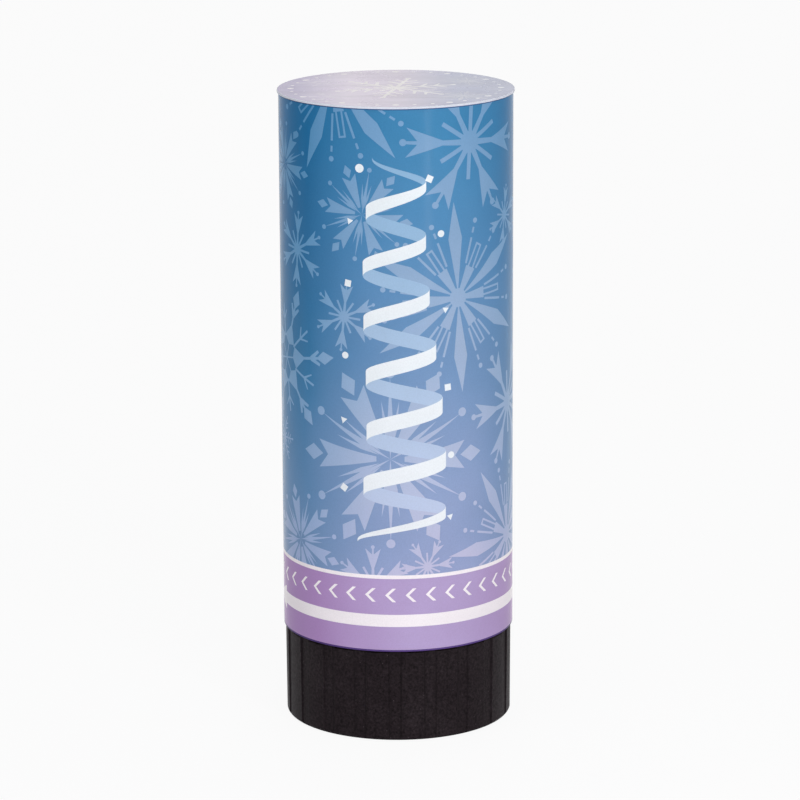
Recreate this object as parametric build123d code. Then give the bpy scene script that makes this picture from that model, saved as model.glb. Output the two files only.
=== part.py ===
from build123d import *
import math
import os

# Spring-fired twist popper, closed and cocked, standing on its base. Millimetres, +Z up.
# The front faces -Y. The origin is the middle of the face it stands on.

# Whole popper
overall_height = 110.0
running_gap = 0.3
glue_gap = 0.05
seat_gap = 0.05
cut_overrun = 1.0
full_turn = 360.0

# Cardboard barrel
bore_radius = 18.2
barrel_wall = 1.55

# Printed paper wrapped round the barrel, with its glued seam at the back
label_thickness = 0.2
label_overlap = 6.0
label_ramp = 2.0
lap_middle_share = 0.7
seam_bearing = 90.0

# Lid: a printed disc over the muzzle and the stiff card under it
lid_label_thickness = 0.35
lid_label_overhang = 0.22
lid_card_thickness = 1.8
lid_card_clearance = 0.2
lid_card_taper = 0.4

# Twist base: a moulded cup with grip grooves
grip_inset = 0.3
grip_foot_taper = 0.1
grip_height = 15.8
grip_wall = 2.4
base_floor = 2.0
foot_recess = 1.2
foot_rim = 2.6
foot_edge = 0.6
grip_top_edge = 0.3
inner_fillet = 0.8
groove_count = 20
groove_width = 2.7
groove_depth = 0.3
groove_lean = 0.45
groove_bearing = -91.8
gate_mark_radius = 2.2
gate_mark_depth = 0.4

# Snap joint between the cup and the insert, which the base turns on
bead_depth = 0.9
bead_height = 1.5
bead_lead = 0.7
bead_drop = 4.3
rib_height = 1.6
rib_lead = 0.9
skirt_wall = 1.5
slit_count = 6
slit_width = 1.2
slit_bearing = 15.0

# Stop that limits the twist
twist_range = 90.0
stop_width = 3.0
stop_rise = 1.4
stop_bearing = 60.0

# Oval cam inside the cup, which squeezes the latch when the base is turned
cam_wall = 1.5
cam_side_gap = 2.9
cam_top_gap = 0.9
release_clearance = 0.3

# Insert glued in the foot of the barrel
insert_wall = 1.4
insert_floor = 2.5
insert_drop = 5.5
insert_lead = 0.8
boss_height = 2.2
boss_wall = 4.8

# Coil spring, held compressed
wire_diameter = 1.6
coil_wall_gap = 2.75
coil_clearance = 0.6
spring_turns = 7
spring_length = 20.0
end_pitch_share = 1.32
arcs_per_turn = 4
gap_steps = 48

# Plunger
plunger_clearance = 0.35
plunger_plate = 2.2
plunger_rim_height = 5.0
plunger_rim_wall = 1.4
plunger_fillet = 0.6
hub_length = 8.0
hub_wall = 1.6
web_count = 6
web_thickness = 1.2
web_height = 2.6

# Latch fork: a head on the plunger and two springy legs with barbs
fork_head_clearance = 0.3
fork_head_overlap = 1.6
fork_head_thickness = 1.5
leg_clearance = 0.5
leg_thickness = 1.6
leg_width = 5.0
fork_head_edge = 0.7
barb_reach = 2.8
barb_gap = 0.2
barb_face = 1.0
barb_lead = 4.0
barb_tip_share = 0.45

# Card wad under the confetti
wad_thickness = 1.5
wad_clearance = 0.25

# Confetti: layers of two tissue slips side by side, each layer turned on from the last
slip_clearance = 0.95
slip_length_share = 2.0
slip_thickness = 0.3
slip_spacing = 0.8
layer_pitch = 0.9
layer_turn = 137.5
slips_per_layer = 2
headspace = 6.0
confetti_colours = ("white", "sky", "blue", "lilac", "purple")

# Heights and radii that follow from the sizes above
barrel_radius = bore_radius + barrel_wall
barrel_foot = grip_height + running_gap
muzzle = overall_height - lid_label_thickness
label_inner_radius = barrel_radius + glue_gap
label_radius = label_inner_radius + label_thickness

grip_radius = label_radius - grip_inset
cup_radius = grip_radius - grip_wall
base_floor_top = foot_recess + base_floor
bead_radius = cup_radius - bead_depth
bead_top = grip_height - bead_drop
bead_bottom = bead_top - bead_height
skirt_radius = bead_radius - running_gap
skirt_inner_radius = skirt_radius - skirt_wall
rib_radius = cup_radius - running_gap
rib_top = bead_bottom - running_gap
skirt_foot = rib_top - rib_height
stop_top = skirt_foot + stop_rise
stop_radius = (skirt_radius + skirt_inner_radius) / 2
insert_radius = bore_radius - glue_gap
insert_inner_radius = insert_radius - insert_wall
latch_floor_top = barrel_foot + insert_floor
coil_radius = insert_inner_radius - coil_wall_gap - wire_diameter / 2
boss_radius = coil_radius - wire_diameter / 2 - coil_clearance
latch_hole_radius = boss_radius - boss_wall

spring_foot = latch_floor_top + seat_gap
spring_top = spring_foot + spring_length
plate_bottom = spring_top + seat_gap
plate_top = plate_bottom + plunger_plate
insert_top = plate_bottom - insert_drop
rim_top = plate_top + plunger_rim_height
plunger_radius = bore_radius - plunger_clearance
fork_head_radius = latch_hole_radius + fork_head_overlap
leg_outer = math.sqrt((latch_hole_radius - leg_clearance) ** 2 - (leg_width / 2) ** 2)
leg_inner = leg_outer - leg_thickness
barb_top = barrel_foot - barb_gap

cam_top = barrel_foot - cam_top_gap
cam_long = skirt_inner_radius - cam_side_gap - cam_wall
cam_short = math.sqrt((latch_hole_radius - release_clearance) ** 2 - (leg_width / 2) ** 2)

wad_bottom = rim_top + seat_gap
wad_top = wad_bottom + wad_thickness
wad_radius = bore_radius - wad_clearance
confetti_foot = wad_top + seat_gap
lid_card_bottom = muzzle - lid_card_thickness
layer_count = int((lid_card_bottom - headspace - confetti_foot) / layer_pitch)
pair_radius = bore_radius - slip_clearance
slip_width = (math.sqrt(2 * pair_radius**2 - (slip_spacing / 2) ** 2) - slip_spacing / 2) / 2
slip_length = slip_length_share * slip_width


def turned(*corners, arc=full_turn):
    """Solid turned about Z from corners of (radius, height) or (radius, height, rounding)."""
    points = [(corner[0], 0, corner[1]) for corner in corners]
    roundings = [corner[2] if len(corner) > 2 else 0 for corner in corners]
    outline = FilletPolyline(*points, radius=roundings, close=True)
    return revolve(make_face(outline), Axis.Z, arc)


def ring(outer, inner, low, high, arc=full_turn):
    """Square-edged ring, or a stretch of one that starts at +X."""
    return turned((inner, low), (outer, low), (outer, high), (inner, high), arc=arc)


def disc(radius, low, high, edge=0):
    """Round plate, with its upper edge rounded by edge."""
    return turned((0, low), (radius, low), (radius, high, edge), (0, high))


def spot(radius, bearing):
    """Point in the XY plane at a radius and a bearing in degrees from +X."""
    angle = math.radians(bearing)
    return (radius * math.cos(angle), radius * math.sin(angle))


def degrees_along(length, radius):
    """Angle that a length takes up along a circle."""
    return math.degrees(length / radius)


def around(count, shape, bearing=0):
    """Copies of a shape spaced evenly round Z, the first turned to a bearing."""
    return [Rot(0, 0, bearing + full_turn * k / count) * shape for k in range(count)]


def make_body_tube():
    return ring(barrel_radius, bore_radius, barrel_foot, muzzle)


def make_printed_label():
    """Wrap whose upper end climbs a ramp and laps over the lower end at the back."""
    wrap = Circle(label_radius) - Circle(label_inner_radius)
    lap_radius = label_radius + label_thickness
    root_radius = label_radius - label_thickness / 2
    end = seam_bearing + degrees_along(label_overlap / 2, label_radius)
    foot = end - degrees_along(label_overlap + label_ramp, label_radius)
    middle = spot(label_radius + lap_middle_share * label_thickness, (foot + end) / 2)
    lap = make_face(
        [
            Line(spot(root_radius, foot), spot(label_radius, foot)),
            ThreePointArc(spot(label_radius, foot), middle, spot(lap_radius, end)),
            Line(spot(lap_radius, end), spot(root_radius, end)),
            CenterArc((0, 0), root_radius, foot, end - foot),
        ]
    )
    return Pos(0, 0, barrel_foot) * extrude(wrap + lap, amount=muzzle - barrel_foot)


def make_lid_label():
    return disc(label_radius + lid_label_overhang, muzzle, overall_height, lid_label_thickness / 3)


def make_lid_card():
    """Card plug, tapered a little at its lower edge so that it enters the muzzle."""
    radius = bore_radius - lid_card_clearance
    return turned(
        (0, lid_card_bottom),
        (radius - lid_card_taper, lid_card_bottom),
        (radius, lid_card_bottom + lid_card_taper),
        (radius, muzzle),
        (0, muzzle),
    )


def make_groove():
    """Cutter for one grip groove on +X; its walls lean outwards, so that the cup leaves its mould."""
    bottom = grip_radius - groove_depth
    top = grip_radius + cut_overrun
    half_top = groove_width / 2 + cut_overrun * groove_lean / groove_depth
    half_bottom = groove_width / 2 - groove_lean
    section = Polyline(
        (bottom, -half_bottom),
        (top, -half_top),
        (top, half_top),
        (bottom, half_bottom),
        close=True,
    )
    return Pos(0, 0, -cut_overrun) * extrude(make_face(section), amount=grip_height + 2 * cut_overrun)


def make_twist_base():
    rim_inner_radius = grip_radius - grip_foot_taper - foot_rim
    cup = turned(
        (rim_inner_radius, 0),
        (grip_radius - grip_foot_taper, 0, foot_edge),
        (grip_radius, grip_height, grip_top_edge),
        (cup_radius, grip_height),
        (cup_radius, bead_top + bead_lead),
        (bead_radius, bead_top),
        (bead_radius, bead_bottom),
        (cup_radius, bead_bottom),
        (cup_radius, base_floor_top, inner_fillet),
        (0, base_floor_top),
        (0, foot_recess),
        (rim_inner_radius, foot_recess, inner_fillet),
    )
    gate_mark = Pos(0, 0, foot_recess) * Cylinder(gate_mark_radius, 2 * gate_mark_depth)
    oval = Ellipse(cam_long + cam_wall, cam_short + cam_wall) - Ellipse(cam_long, cam_short)
    cam = Pos(0, 0, base_floor_top) * extrude(oval, amount=cam_top - base_floor_top)
    stop = Pos(stop_radius, 0, (base_floor_top + stop_top) / 2) * Box(
        skirt_wall, stop_width, stop_top - base_floor_top
    )
    cup = cup - around(groove_count, make_groove(), groove_bearing) - gate_mark
    return cup + cam + Rot(0, 0, stop_bearing) * stop


def make_tube_insert():
    body = turned(
        (skirt_inner_radius, skirt_foot),
        (skirt_radius, skirt_foot),
        (rib_radius, skirt_foot + rib_lead),
        (rib_radius, rib_top),
        (skirt_radius, rib_top),
        (skirt_radius, barrel_foot),
        (insert_radius, barrel_foot),
        (insert_radius, insert_top - insert_lead),
        (insert_radius - insert_lead / 2, insert_top),
        (insert_inner_radius, insert_top),
        (insert_inner_radius, latch_floor_top, inner_fillet),
        (boss_radius, latch_floor_top),
        (boss_radius, latch_floor_top + boss_height),
        (latch_hole_radius, latch_floor_top + boss_height),
        (latch_hole_radius, barrel_foot),
        (skirt_inner_radius, barrel_foot, inner_fillet),
    )
    slack = degrees_along(stop_width / 2 + running_gap, stop_radius)
    track = ring(
        rib_radius + cut_overrun,
        skirt_inner_radius - cut_overrun,
        skirt_foot - cut_overrun,
        stop_top + running_gap,
        arc=twist_range + 2 * slack,
    )
    track = Rot(0, 0, stop_bearing - twist_range - slack) * track
    slit_low = skirt_foot - cut_overrun
    slit = Pos(stop_radius, 0, (slit_low + bead_top) / 2) * Box(
        rib_radius - skirt_inner_radius + 2 * cut_overrun, slit_width, bead_top - slit_low
    )
    return body - track - around(slit_count, slit, slit_bearing)


def spring_height(turns):
    """Height of the wire's middle after a number of turns; the end turns lie closer."""
    end_pitch = end_pitch_share * wire_diameter
    rise = spring_length - wire_diameter
    inner_pitch = (rise - 2 * end_pitch) / (spring_turns - 2)
    climbed = end_pitch * min(turns, 1) + inner_pitch * min(max(turns - 1, 0), spring_turns - 2)
    return spring_foot + wire_diameter / 2 + climbed + end_pitch * max(turns - spring_turns + 1, 0)


def spring_point(turns):
    x, y = spot(coil_radius, full_turn * turns)
    return Vector(x, y, spring_height(turns))


def spring_tangent(turns):
    """Direction of the wire, with the slopes before and after a knot averaged."""
    step = 1 / arcs_per_turn
    low, high = max(turns - step, 0), min(turns + step, spring_turns)
    slope = (spring_height(high) - spring_height(low)) / (high - low)
    x, y = spot(1, full_turn * turns)
    around = 2 * math.pi * coil_radius
    return Vector(-y * around, x * around, slope).normalized()


def biarc(start, start_way, end, end_way):
    """Two arcs that leave start and reach end along the given directions and meet smoothly."""
    span = end - start
    ways = start_way + end_way
    a = 2 * (1 - start_way.dot(end_way))
    b = 2 * span.dot(ways)
    reach = (math.sqrt(b * b + 4 * a * span.dot(span)) - b) / (2 * a)
    near = start + start_way * reach
    far = end - end_way * reach
    middle = (near + far) / 2
    return [TangentArc(start, middle, tangent=start_way), TangentArc(middle, end, tangent=far - near)]


def spring_self_gap():
    """Least gap between the wire and its own next turn, measured on points."""
    count = spring_turns * gap_steps
    points = [spring_point(k / gap_steps) for k in range(count + 1)]
    near = gap_steps // 2
    pairs = [(a, b) for a in range(count + 1) for b in range(a + near, min(a + 2 * gap_steps, count + 1))]
    return min((points[a] - points[b]).length for a, b in pairs) - wire_diameter


def make_mainspring():
    knots = [k / arcs_per_turn for k in range(spring_turns * arcs_per_turn + 1)]
    arcs = []
    for low, high in zip(knots, knots[1:]):
        arcs += biarc(spring_point(low), spring_tangent(low), spring_point(high), spring_tangent(high))
    section = Plane(origin=spring_point(0), z_dir=spring_tangent(0)) * Circle(wire_diameter / 2)
    return sweep(section, path=Wire(arcs))


def make_plunger():
    rim_inner_radius = plunger_radius - plunger_rim_wall
    cup = turned(
        (latch_hole_radius, plate_bottom),
        (boss_radius - hub_wall, plate_bottom),
        (boss_radius - hub_wall, plate_bottom - hub_length),
        (boss_radius, plate_bottom - hub_length),
        (boss_radius, plate_bottom),
        (plunger_radius, plate_bottom, plunger_fillet),
        (plunger_radius, rim_top),
        (rim_inner_radius, rim_top),
        (rim_inner_radius, plate_top, plunger_fillet),
        (latch_hole_radius, plate_top),
    )
    web_start = fork_head_radius + fork_head_clearance
    web_end = plunger_radius - plunger_rim_wall / 2
    web = Pos((web_start + web_end) / 2, 0, plate_top + web_height / 2 - plunger_plate / 4) * Box(
        web_end - web_start, web_thickness, web_height + plunger_plate / 2
    )
    return cup + around(web_count, web)


def make_latch_fork():
    """Head disc and two legs; each leg's outline lies in the XZ plane."""
    head = disc(fork_head_radius, plate_top, plate_top + fork_head_thickness, fork_head_edge)
    barb_low = barb_top - barb_face
    tip_low = barb_low - barb_lead
    tip_outer = leg_inner + leg_thickness * barb_tip_share
    leg_outline = Polyline(
        (leg_inner, plate_top + fork_head_thickness / 2),
        (leg_inner, tip_low),
        (tip_outer, tip_low),
        (leg_outer + barb_reach, barb_low),
        (leg_outer + barb_reach, barb_top),
        (leg_outer, barb_top),
        (leg_outer, plate_top + fork_head_thickness / 2),
        close=True,
    )
    leg = extrude(Plane.XZ * make_face(leg_outline), amount=leg_width / 2, both=True)
    return head + leg + mirror(leg, about=Plane.YZ)


def make_card_wad():
    return disc(wad_radius, wad_bottom, wad_top)


def make_confetti():
    """Slips sorted by colour; colours take turns up the stack."""
    slips = {colour: [] for colour in confetti_colours}
    slip = Box(slip_length, slip_width, slip_thickness, align=(Align.CENTER, Align.CENTER, Align.MIN))
    for layer in range(layer_count):
        place = Pos(0, 0, confetti_foot + layer * layer_pitch) * Rot(0, 0, layer * layer_turn)
        for side in range(slips_per_layer):
            across = (side - (slips_per_layer - 1) / 2) * (slip_width + slip_spacing)
            colour = confetti_colours[(layer * slips_per_layer + side) % len(confetti_colours)]
            slips[colour].append(place * Pos(0, across, 0) * slip)
    return {f"confetti_{colour}": Compound(children=group) for colour, group in slips.items()}


nodes = {
    "body_tube": make_body_tube(),
    "printed_label": make_printed_label(),
    "lid_label": make_lid_label(),
    "lid_card": make_lid_card(),
    "twist_base": make_twist_base(),
    "tube_insert": make_tube_insert(),
    "mainspring": make_mainspring(),
    "plunger": make_plunger(),
    "latch_fork": make_latch_fork(),
    "card_wad": make_card_wad(),
}
nodes.update(make_confetti())

os.makedirs("parts", exist_ok=True)
for name, shape in nodes.items():
    export_step(shape, f"parts/{name}.step")

print("least gap between turns of the spring", round(spring_self_gap(), 3))
print("headspace over the confetti", round(lid_card_bottom - confetti_foot - layer_count * layer_pitch, 3))
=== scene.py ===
import math
import random

import bmesh
import bpy
import numpy as np
from mathutils import Matrix, Vector
from mathutils.geometry import delaunay_2d_cdt


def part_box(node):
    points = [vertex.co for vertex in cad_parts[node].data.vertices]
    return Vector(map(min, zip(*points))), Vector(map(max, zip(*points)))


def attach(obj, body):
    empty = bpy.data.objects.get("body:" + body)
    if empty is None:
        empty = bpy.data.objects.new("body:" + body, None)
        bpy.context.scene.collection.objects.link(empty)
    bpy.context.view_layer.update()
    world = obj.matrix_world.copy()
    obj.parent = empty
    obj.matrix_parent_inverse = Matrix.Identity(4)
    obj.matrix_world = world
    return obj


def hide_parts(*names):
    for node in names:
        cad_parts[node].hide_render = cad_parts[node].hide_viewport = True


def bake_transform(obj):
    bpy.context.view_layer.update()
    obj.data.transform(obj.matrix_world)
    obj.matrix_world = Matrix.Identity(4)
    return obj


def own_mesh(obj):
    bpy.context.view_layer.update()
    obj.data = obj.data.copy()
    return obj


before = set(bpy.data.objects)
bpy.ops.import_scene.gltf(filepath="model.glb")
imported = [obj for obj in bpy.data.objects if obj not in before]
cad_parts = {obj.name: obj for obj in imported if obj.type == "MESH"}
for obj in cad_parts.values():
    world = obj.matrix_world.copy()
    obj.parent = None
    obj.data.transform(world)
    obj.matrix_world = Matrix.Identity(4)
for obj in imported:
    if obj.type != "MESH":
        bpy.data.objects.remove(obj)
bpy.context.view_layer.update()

# Looks of a closed twist popper: printed wrap and lid, black grip, and the works inside.
# Sizes and places are in millimetres, and scaled to metres when a mesh or a finish is made.

MM = 0.001
FULL_TURN = 2 * math.pi
RIGHT_ANGLE = math.pi / 2


def node_box(name):
    """A CAD node's lowest and highest corners in millimetres."""
    low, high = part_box(name)
    return Vector(low) / MM, Vector(high) / MM


label_low, label_high = node_box("printed_label")
LABEL_RADIUS = label_high.x
LABEL_FOOT, LABEL_TOP = label_low.z, label_high.z

# Finishes

# Most of a noise's values lie between these
NOISE_LOW, NOISE_MIDDLE, NOISE_HIGH = 0.3, 0.5, 0.7
# Colour sockets of the Mix node
MIX_SHARE, MIX_FIRST, MIX_SECOND, MIX_RESULT = 0, 6, 7, 2


def srgb(red, green, blue):
    """Linear colour of an 8-bit screen colour."""
    values = [c / 255 for c in (red, green, blue)]
    return tuple(c / 12.92 if c <= 0.04045 else ((c + 0.055) / 1.055) ** 2.4 for c in values) + (1.0,)


def stops(shares, *colours):
    """Ramp stops: 8-bit screen colours at shares of the way."""
    return [(share, srgb(*colour)) for share, colour in zip(shares, colours)]


class Finish:
    """A node material, with short calls for what the finishes share."""

    def __init__(self, name, **sockets):
        self.material = bpy.data.materials.new(name)
        self.material.use_nodes = True
        self.tree = self.material.node_tree
        self.shader = self.tree.nodes["Principled BSDF"]
        for socket, value in sockets.items():
            self.shader.inputs[socket.replace("_", " ")].default_value = value
        self.place = self.node("ShaderNodeTexCoord").outputs["Object"]

    def node(self, kind, inputs=None, **settings):
        """New node, whose inputs are linked to sockets or set to values."""
        made = self.tree.nodes.new(kind)
        for key, value in settings.items():
            setattr(made, key, value)
        for key, value in (inputs or {}).items():
            if isinstance(value, bpy.types.NodeSocket):
                self.tree.links.new(value, made.inputs[key])
            else:
                made.inputs[key].default_value = value
        return made

    def set(self, socket, value):
        """Links a value to a socket of the shader."""
        self.tree.links.new(value, self.shader.inputs[socket])

    def math(self, operation, first, second=0.0, third=0.0):
        inputs = {0: first, 1: second, 2: third}
        return self.node("ShaderNodeMath", inputs, operation=operation).outputs[0]

    def axis(self, index):
        """The place's X, Y or Z in metres."""
        return self.node("ShaderNodeSeparateXYZ", {0: self.place}).outputs[index]

    def radius(self):
        """Distance from the popper's axis."""
        x, y = self.axis(0), self.axis(1)
        return self.math("SQRT", self.math("MULTIPLY_ADD", x, x, self.math("MULTIPLY", y, y)))

    def stretched(self, x, y, z):
        """The place scaled on each axis."""
        inputs = {"Vector": self.place, "Scale": (x, y, z)}
        return self.node("ShaderNodeMapping", inputs).outputs[0]

    def noise(self, grain, detail=3.0, roughness=0.55, place=None, distortion=0.0):
        """Noise whose features are about grain millimetres across."""
        inputs = {
            "Vector": place or self.place,
            "Scale": 1 / (grain * MM),
            "Detail": detail,
            "Roughness": roughness,
            "Distortion": distortion,
        }
        return self.node("ShaderNodeTexNoise", inputs).outputs[0]

    def cells(self, grain, feature="F1"):
        """Distance to the middle, or to the feature named, of cells about grain millimetres across."""
        inputs = {"Vector": self.place, "Scale": 1 / (grain * MM)}
        return self.node("ShaderNodeTexVoronoi", inputs, feature=feature).outputs["Distance"]

    def span(self, value, low, high, to_low=0.0, to_high=1.0):
        """Value mapped from low and high to new ends, and held between them."""
        inputs = {0: value, 1: low, 2: high, 3: to_low, 4: to_high}
        return self.node("ShaderNodeMapRange", inputs, clamp=True).outputs[0]

    def ramp(self, value, colour_stops):
        made = self.node("ShaderNodeValToRGB", {0: value})
        elements = made.color_ramp.elements
        while len(elements) < len(colour_stops):
            elements.new(1.0)
        while len(elements) > len(colour_stops):
            elements.remove(elements[-1])
        for element, (place, colour) in zip(elements, colour_stops):
            element.position = place
            element.color = colour
        return made.outputs[0]

    def mix(self, share, first, second, blend="MIX"):
        inputs = {MIX_SHARE: share, MIX_FIRST: first, MIX_SECOND: second}
        made = self.node("ShaderNodeMix", inputs, data_type="RGBA", blend_type=blend)
        return made.outputs[MIX_RESULT]

    def shade(self, colour, value, low, high):
        """Colour times low to high, over a noise's usual range."""
        grey = self.span(value, NOISE_LOW, NOISE_HIGH, low, high)
        tint = self.node("ShaderNodeCombineColor", {0: grey, 1: grey, 2: grey}).outputs[0]
        return self.mix(1.0, colour, tint, "MULTIPLY")

    def rough(self, value, low, high):
        """Roughness from low to high, over a noise's usual range."""
        self.set("Roughness", self.span(value, NOISE_LOW, NOISE_HIGH, low, high))

    def bump(self, height, strength, depth):
        """Relief of a depth in millimetres, on top of the bumps set before."""
        inputs = {"Strength": strength, "Distance": depth * MM, "Height": height}
        before = self.shader.inputs["Normal"].links
        if before:
            inputs["Normal"] = before[0].from_socket
        self.set("Normal", self.node("ShaderNodeBump", inputs).outputs[0])


# Painted light and shade on the wrap: its inks are lightest at this angle from the front, towards +X, the
# side the key lamp lights; partly a drift of the print, partly painted shade
LIGHT_SIDE = math.radians(18)
# Cosine of the angle from there, blurred by a noise, at which the inks are fully deep and shaded, and fully
# light
DEEP_AND_SHADED_AT, LIGHT_AT, DRIFT_BLUR = 0.4, 1.0, 0.5


def laminated(name, low, high, light, deep_and_shaded=None, axis=2, smears=0.0, gloss=0.06, roughness=(0.14, 0.22)):
    """Glossy laminated print: a colour ramp along an axis, paper mottle, print grain and soft waves.
    Where deep-and-shaded stops are given, the ramp drifts to them round the barrel, away from LIGHT_SIDE:
    partly a deeper print, partly painted shade on the side away from the light.
    Smears is the strength of long pearly streaks along X."""
    ink = Finish(name, Specular_IOR_Level=gloss)
    along = ink.span(ink.axis(axis), low * MM, high * MM)
    colour = ink.ramp(along, light)
    if deep_and_shaded:
        # Painted shade: the ramp turns to the deep stops away from the lit side, on top of the print's own
        # drift
        side = ink.math("MULTIPLY", ink.axis(0), math.sin(LIGHT_SIDE) / (LABEL_RADIUS * MM))
        facing = ink.math("MULTIPLY_ADD", ink.axis(1), -math.cos(LIGHT_SIDE) / (LABEL_RADIUS * MM), side)
        clouds = ink.math("SUBTRACT", ink.noise(grain=26.0, detail=2.0), NOISE_MIDDLE)
        drift_and_shade = ink.math("MULTIPLY_ADD", clouds, DRIFT_BLUR, facing)
        colour = ink.mix(ink.span(drift_and_shade, DEEP_AND_SHADED_AT, LIGHT_AT), ink.ramp(along, deep_and_shaded), colour)
    colour = ink.shade(colour, ink.noise(grain=14.0, detail=2.0), low=0.97, high=1.03)
    if smears:
        place = ink.stretched(x=0.3, y=1.6, z=1.0)
        streaks = ink.noise(grain=6.0, detail=4.0, roughness=0.6, place=place, distortion=0.5)
        colour = ink.shade(colour, streaks, low=1 - smears, high=1 + smears)
    colour = ink.shade(colour, ink.noise(grain=0.22, detail=2.0), low=0.965, high=1.035)
    ink.set("Base Color", colour)
    ink.rough(ink.noise(grain=6.0), *roughness)
    ink.bump(ink.noise(grain=9.0, detail=1.0), strength=0.12, depth=0.2)
    ink.bump(ink.noise(grain=0.5, detail=5.0, roughness=0.6), strength=0.1, depth=0.03)
    return ink.material


def cut_paper(name, colour):
    """White core of cut paper, with fibres along the edge."""
    paper = Finish(name, Roughness=0.85, Specular_IOR_Level=0.25)
    fibres = paper.noise(grain=0.25, detail=4.0, roughness=0.7)
    paper.set("Base Color", paper.shade(colour, fibres, low=0.88, high=1.04))
    paper.bump(fibres, strength=0.4, depth=0.05)
    return paper.material


PLY_PITCH = 0.38
# Width of the wound seam as a share of its pitch
SEAM_SHARE = 0.02


def greyboard(name, colour, seam_pitch=None):
    """Recycled board: fibre flecks, plies and, where a pitch is given, the wound seam of a paper tube."""
    board = Finish(name, Roughness=0.9, Specular_IOR_Level=0.2)
    plies = board.math("SINE", board.math("MULTIPLY", board.radius(), FULL_TURN / (PLY_PITCH * MM)))
    tone = board.shade(colour, board.noise(grain=3.0, detail=4.0), low=0.88, high=1.1)
    tone = board.shade(tone, board.noise(grain=0.35, detail=5.0, roughness=0.7), low=0.86, high=1.1)
    tone = board.shade(tone, board.span(plies, low=-1.0, high=1.0), low=0.95, high=1.03)
    flecks = board.span(board.cells(grain=1.1), low=0.08, high=0.16, to_low=0.55, to_high=0.0)
    tone = board.mix(flecks, tone, srgb(92, 84, 76))
    board.bump(board.noise(grain=0.3, detail=5.0, roughness=0.7), strength=0.35, depth=0.06)
    if seam_pitch:
        x, y, z = (board.axis(k) for k in range(3))
        around = board.math("DIVIDE", board.math("ARCTAN2", y, x), FULL_TURN)
        climb = board.math("FRACT", board.math("ADD", board.math("DIVIDE", z, seam_pitch * MM), around))
        seam = board.span(climb, low=0.0, high=SEAM_SHARE, to_low=0.65, to_high=0.0)
        tone = board.mix(seam, tone, srgb(110, 100, 88))
        board.bump(seam, strength=0.4, depth=0.1)
    board.set("Base Color", tone)
    return board.material


GROOVE_DEPTH, FOOT_TAPER = 0.3, 0.1
# Share of the painted shade on the groove walls
GROOVE_SHADE_SHARE = 0.3


def black_plastic(grip_radius, grip_height):
    """Satin black polypropylene with spark-eroded grain, pale dust specks and painted shade on the groove
    walls.
    """
    black = Finish("black_grip_plastic", Specular_IOR_Level=0.05)
    pits = black.noise(grain=0.42, detail=4.0, roughness=0.7)
    tone = black.ramp(black.noise(grain=7.0), stops((NOISE_LOW, NOISE_HIGH), (28, 22, 25), (36, 30, 33)))
    tone = black.shade(tone, pits, low=0.3, high=2.0)
    # How far up the groove's wall a point lies; the grooves grow shallow where the grip tapers to its foot
    floor = (grip_radius - GROOVE_DEPTH) * MM
    foot_depth = (GROOVE_DEPTH - FOOT_TAPER) * MM
    depth = black.math("MULTIPLY_ADD", black.axis(2), FOOT_TAPER / grip_height, foot_depth)
    rise = black.math("DIVIDE", black.math("SUBTRACT", black.radius(), floor), depth)
    past_floor = black.span(rise, low=0.06, high=0.25)
    past_wall = black.span(rise, low=0.7, high=0.94)
    # Painted shade: the groove walls are darkened towards near black, where shade falls in the grooves
    groove_shade = black.math("MULTIPLY", black.math("SUBTRACT", past_floor, past_wall), GROOVE_SHADE_SHARE)
    tone = black.mix(groove_shade, tone, srgb(6, 4, 6))
    specks = black.span(black.cells(grain=1.5), low=0.035, high=0.06, to_low=0.4, to_high=0.0)
    black.set("Base Color", black.mix(specks, tone, srgb(112, 102, 108)))
    black.rough(black.noise(grain=0.6, detail=4.0, roughness=0.7), low=0.4, high=0.56)
    black.bump(pits, strength=0.5, depth=0.06)
    black.bump(black.noise(grain=5.0), strength=0.1, depth=0.12)
    return black.material


SCATTER_RADIUS = (0.002, 0.002, 0.0018)


def natural_plastic(name, colour, roughness, scatter):
    """Uncoloured moulded plastic: milky, with flow marks and fine grain."""
    milky = Finish(
        name,
        Subsurface_Weight=scatter,
        Subsurface_Radius=SCATTER_RADIUS,
        Subsurface_Scale=0.5,
        Specular_IOR_Level=0.5,
    )
    place = milky.stretched(x=1.0, y=1.0, z=0.25)
    flow = milky.noise(grain=6.0, roughness=0.5, place=place, distortion=0.6)
    pits = milky.noise(grain=0.4)
    tone = milky.shade(colour, flow, low=0.94, high=1.03)
    milky.set("Base Color", milky.shade(tone, pits, low=0.97, high=1.02))
    milky.rough(flow, *roughness)
    milky.bump(flow, strength=0.06, depth=0.1)
    milky.bump(pits, strength=0.12, depth=0.03)
    return milky.material


def spring_steel():
    """Drawn wire: die lines, oil film and a little heat tint."""
    steel = Finish("oiled_spring_steel", Metallic=1.0)
    lines = steel.noise(grain=0.16, roughness=0.6, place=steel.stretched(x=1.0, y=1.0, z=9.0))
    tone = steel.ramp(steel.noise(grain=5.0), stops((0.35, 0.7), (176, 174, 172), (196, 192, 184)))
    steel.set("Base Color", steel.shade(tone, lines, low=0.84, high=1.05))
    steel.rough(lines, low=0.2, high=0.38)
    steel.bump(lines, strength=0.15, depth=0.03)
    return steel.material


def tissue(name, colour):
    """Crinkled tissue: fine creases, fibre mottle and soft sheen."""
    paper = Finish(name, Roughness=0.92, Specular_IOR_Level=0.15, Sheen_Weight=0.15, Sheen_Roughness=0.5)
    creases = paper.span(paper.cells(grain=1.6, feature="DISTANCE_TO_EDGE"), low=0.0, high=0.25)
    fibres = paper.noise(grain=0.2, detail=4.0, roughness=0.7)
    tone = paper.shade(colour, paper.noise(grain=4.0), low=0.93, high=1.05)
    paper.set("Base Color", paper.shade(tone, fibres, low=0.92, high=1.04))
    paper.bump(creases, strength=0.25, depth=0.12)
    paper.bump(fibres, strength=0.3, depth=0.03)
    return paper.material


# Meshes


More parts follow.
